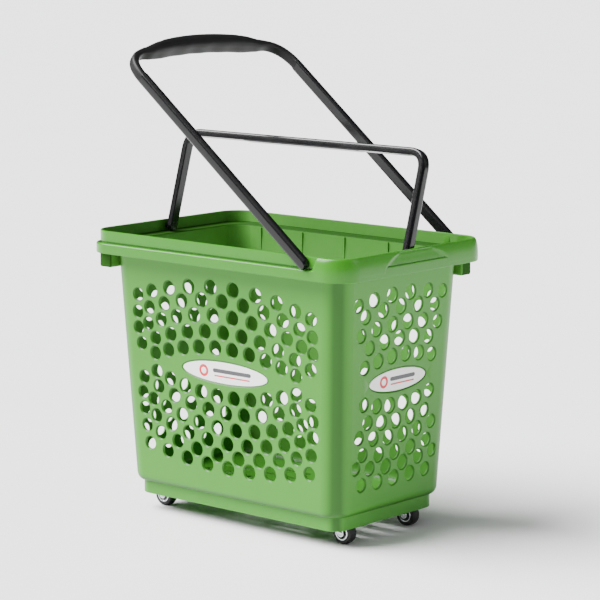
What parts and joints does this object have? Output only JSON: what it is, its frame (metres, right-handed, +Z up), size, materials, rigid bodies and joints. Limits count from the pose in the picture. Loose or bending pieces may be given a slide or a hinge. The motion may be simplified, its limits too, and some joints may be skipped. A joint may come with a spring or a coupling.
{
  "type": "shopping basket on castors",
  "caption": "Tall perforated plastic shopping basket with swivel castors, a long folding pull handle and a folding carry handle.",
  "frame": {"origin": "on the floor, below the middle of the basket", "axes": "+Z up, +X along the long side to the end with the raised rim grip, -Y to the front long side"},
  "size_m": [0.5298, 0.369, 0.7508],
  "materials": {
    "green_polypropylene": "injection-moulded polypropylene, satin",
    "label_print": "printed oval label",
    "black_polypropylene": "injection-moulded, satin gloss",
    "soft_black_grip": "soft matt overmoulding",
    "pivot_peg_green": "injection-moulded polypropylene, satin",
    "pivot_peg_black": "injection-moulded, satin gloss",
    "axle_steel": "turned steel",
    "castor_housing_black": "moulded nylon",
    "castor_zinc": "bright zinc-plated pressed steel",
    "castor_hub_grey": "moulded nylon",
    "castor_tyre_black": "matt tread"
  },
  "bodies": {
    "basket": {"basket_body": "green_polypropylene", "label_plate_front": "label_print", "label_plate_right": "label_print", "label_plate_back": "label_print", "label_plate_left": "label_print", "pull_pivot_pin_front": "pivot_peg_green", "pull_pivot_pin_back": "pivot_peg_green", "carry_pivot_pin_left": "pivot_peg_black", "carry_pivot_pin_right": "pivot_peg_black", "castor_housing_front_left": "castor_housing_black", "castor_housing_front_right": "castor_housing_black", "castor_housing_back_left": "castor_housing_black", "castor_housing_back_right": "castor_housing_black"},
    "pull_handle": {"pull_handle": "black_polypropylene", "pull_handle_grip": "soft_black_grip"},
    "carry_handle": {"carry_handle": "black_polypropylene"},
    "castor_front_left": {"castor_fork_front_left": "castor_zinc", "castor_axle_front_left": "axle_steel"},
    "wheel_front_left": {"castor_hub_front_left": "castor_hub_grey", "castor_tyre_front_left": "castor_tyre_black"},
    "castor_front_right": {"castor_fork_front_right": "castor_zinc", "castor_axle_front_right": "axle_steel"},
    "wheel_front_right": {"castor_hub_front_right": "castor_hub_grey", "castor_tyre_front_right": "castor_tyre_black"},
    "castor_back_left": {"castor_fork_back_left": "castor_zinc", "castor_axle_back_left": "axle_steel"},
    "wheel_back_left": {"castor_hub_back_left": "castor_hub_grey", "castor_tyre_back_left": "castor_tyre_black"},
    "castor_back_right": {"castor_fork_back_right": "castor_zinc", "castor_axle_back_right": "axle_steel"},
    "wheel_back_right": {"castor_hub_back_right": "castor_hub_grey", "castor_tyre_back_right": "castor_tyre_black"}
  },
  "joints": [
    {"name": "pull_handle_fold", "type": "hinge", "parent": "basket", "child": "pull_handle", "pos_m": [0.19, 0, 0.441], "axis": [0, 1, 0], "range_deg": [-38.4, 90]},
    {"name": "carry_handle_fold", "type": "hinge", "parent": "basket", "child": "carry_handle", "pos_m": [0, 0, 0.441], "axis": [1, 0, 0], "range_deg": [-73.5, 106.5]},
    {"name": "castor_swivel_front_left", "type": "hinge", "parent": "basket", "child": "castor_front_left", "pos_m": [-0.177, -0.076, 0.04], "axis": [0, 0, 1], "continuous": true},
    {"name": "wheel_spin_front_left", "type": "hinge", "parent": "castor_front_left", "child": "wheel_front_left", "pos_m": [-0.188, -0.076, 0.018], "axis": [0, 1, 0], "continuous": true},
    {"name": "castor_swivel_front_right", "type": "hinge", "parent": "basket", "child": "castor_front_right", "pos_m": [0.177, -0.076, 0.04], "axis": [0, 0, 1], "continuous": true},
    {"name": "wheel_spin_front_right", "type": "hinge", "parent": "castor_front_right", "child": "wheel_front_right", "pos_m": [0.188, -0.076, 0.018], "axis": [0, 1, 0], "continuous": true},
    {"name": "castor_swivel_back_left", "type": "hinge", "parent": "basket", "child": "castor_back_left", "pos_m": [-0.177, 0.076, 0.04], "axis": [0, 0, 1], "continuous": true},
    {"name": "wheel_spin_back_left", "type": "hinge", "parent": "castor_back_left", "child": "wheel_back_left", "pos_m": [-0.188, 0.076, 0.018], "axis": [0, 1, 0], "continuous": true},
    {"name": "castor_swivel_back_right", "type": "hinge", "parent": "basket", "child": "castor_back_right", "pos_m": [0.177, 0.076, 0.04], "axis": [0, 0, 1], "continuous": true},
    {"name": "wheel_spin_back_right", "type": "hinge", "parent": "castor_back_right", "child": "wheel_back_right", "pos_m": [0.188, 0.076, 0.018], "axis": [0, 1, 0], "continuous": true}
  ]
}
